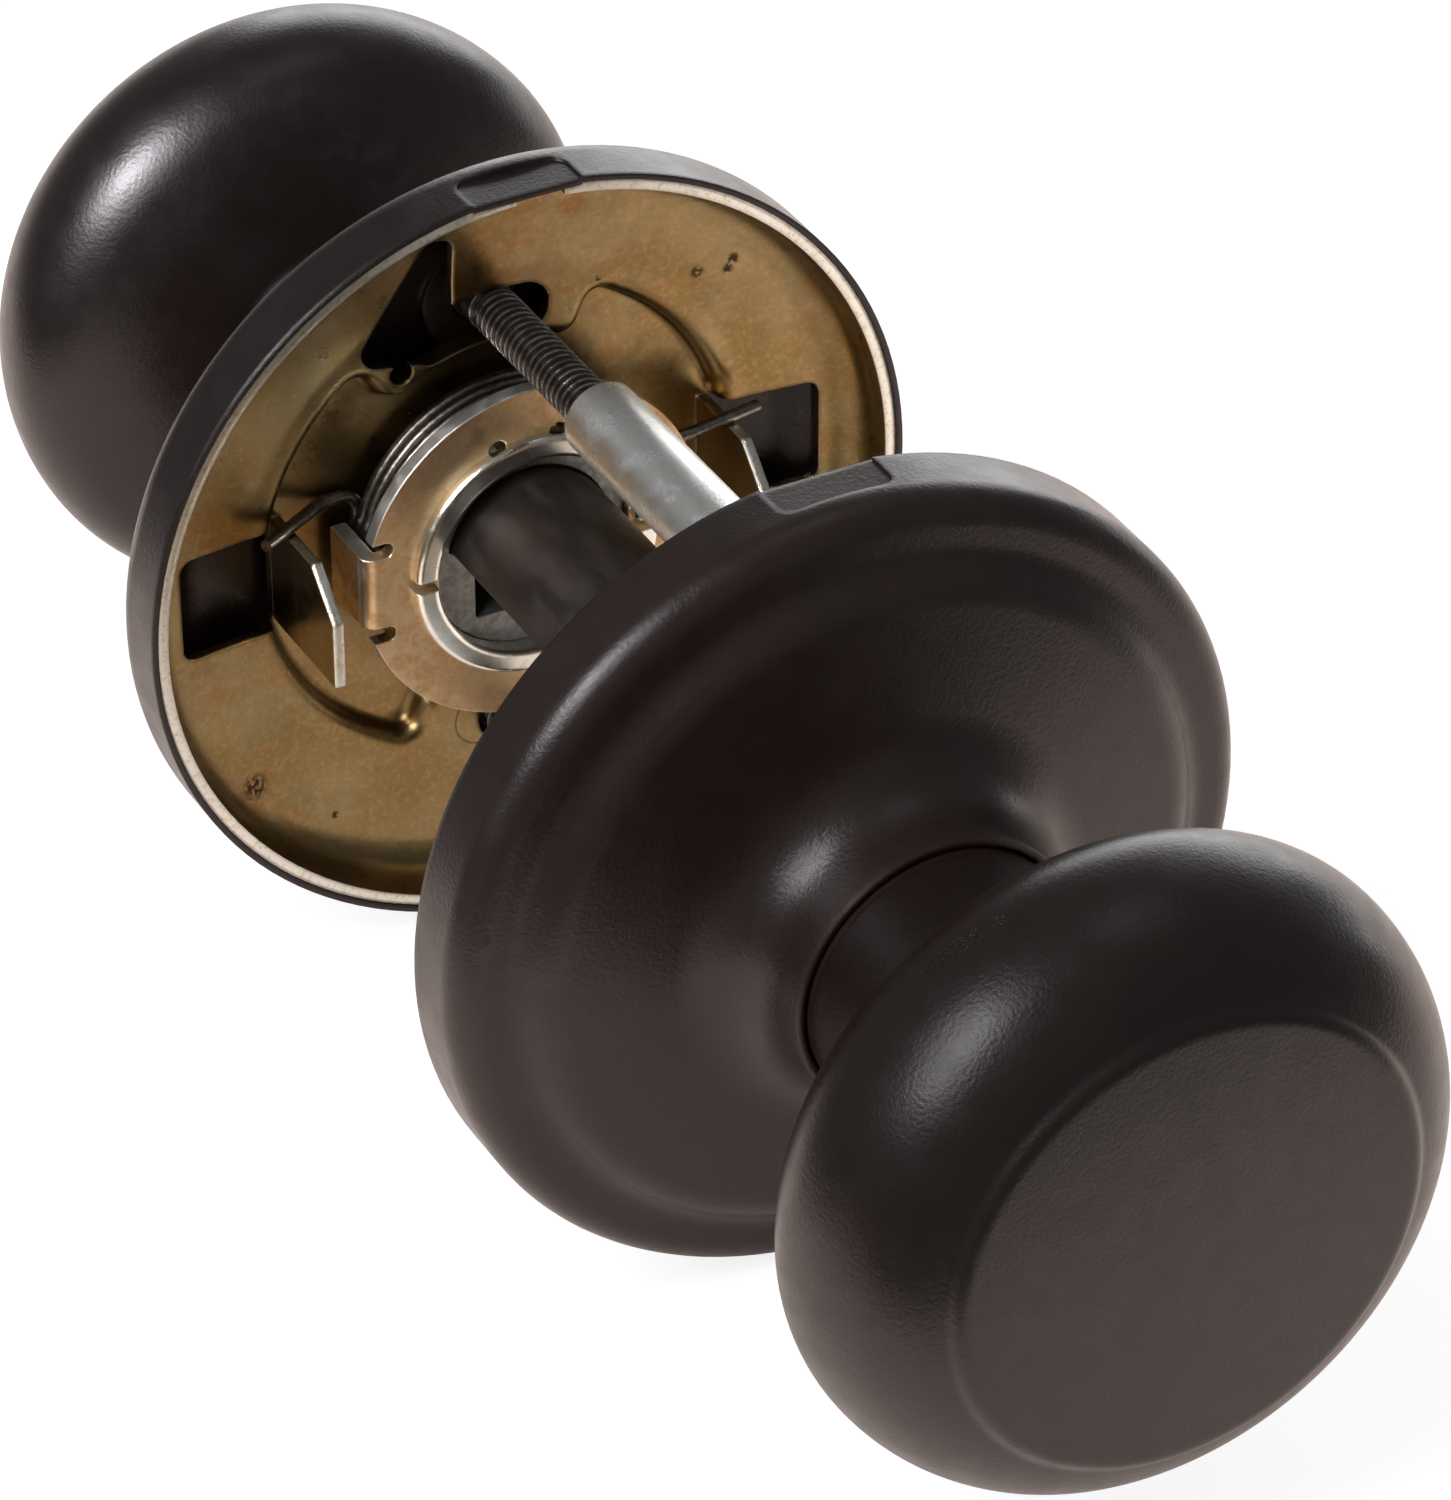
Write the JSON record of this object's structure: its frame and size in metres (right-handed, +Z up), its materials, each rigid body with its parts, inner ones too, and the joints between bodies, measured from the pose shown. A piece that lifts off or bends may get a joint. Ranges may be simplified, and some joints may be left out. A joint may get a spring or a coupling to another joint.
{
  "type": "passage door knob set",
  "caption": "Round door knob set for both sides of a door: sprung knobs on domed roses, a D spindle and through bolts with threaded posts.",
  "frame": {"origin": "on the knobs' axis, halfway through the door, at the centre of the bounding box", "axes": "+Y runs along the knobs' axis from the front knob to the rear knob, +Z is up through the upper bolt, +X is to the right seen from the front knob's side"},
  "size_m": [0.0666, 0.1568, 0.0666],
  "materials": {
    "bronze_coat": "very dark bronze satin powder coat",
    "yellow_zinc": "yellow zinc chromate on sheet steel",
    "bright_zinc": "clear zinc plating on turned steel",
    "cast_zinc": "rough grey die casting",
    "black_oxide": "brown-black oxide",
    "spring_steel": "oiled spring wire"
  },
  "bodies": {
    "mounting": {"front_rose": "bronze_coat", "front_liner": "yellow_zinc", "front_spring": "spring_steel", "rear_rose": "bronze_coat", "rear_liner": "yellow_zinc", "rear_spring": "spring_steel", "upper_post": "bright_zinc", "lower_post": "bright_zinc", "upper_screw": "black_oxide", "lower_screw": "black_oxide"},
    "front_knob": {"front_knob": "bronze_coat", "front_shank": "bright_zinc", "front_driver": "yellow_zinc", "front_socket": "cast_zinc", "spindle": "black_oxide", "spindle_pin": "bright_zinc"},
    "rear_knob": {"rear_knob": "bronze_coat", "rear_shank": "bright_zinc", "rear_driver": "yellow_zinc", "rear_socket": "cast_zinc"}
  },
  "joints": [
    {"name": "front_turn", "type": "hinge", "parent": "mounting", "child": "front_knob", "pos_m": [0, -0.05, 0], "axis": [0, 1, 0], "range_deg": [-55, 55], "stiffness_Nm_per_rad": 0.25, "deforming": ["front_spring"]},
    {"name": "rear_turn", "type": "hinge", "parent": "mounting", "child": "rear_knob", "pos_m": [0, 0.05, 0], "axis": [0, 1, 0], "range_deg": [-55, 55], "stiffness_Nm_per_rad": 0.25, "deforming": ["rear_spring"]}
  ],
  "couplings": [
    {"joint": "rear_turn", "follows": "front_turn", "ratio": 1}
  ]
}
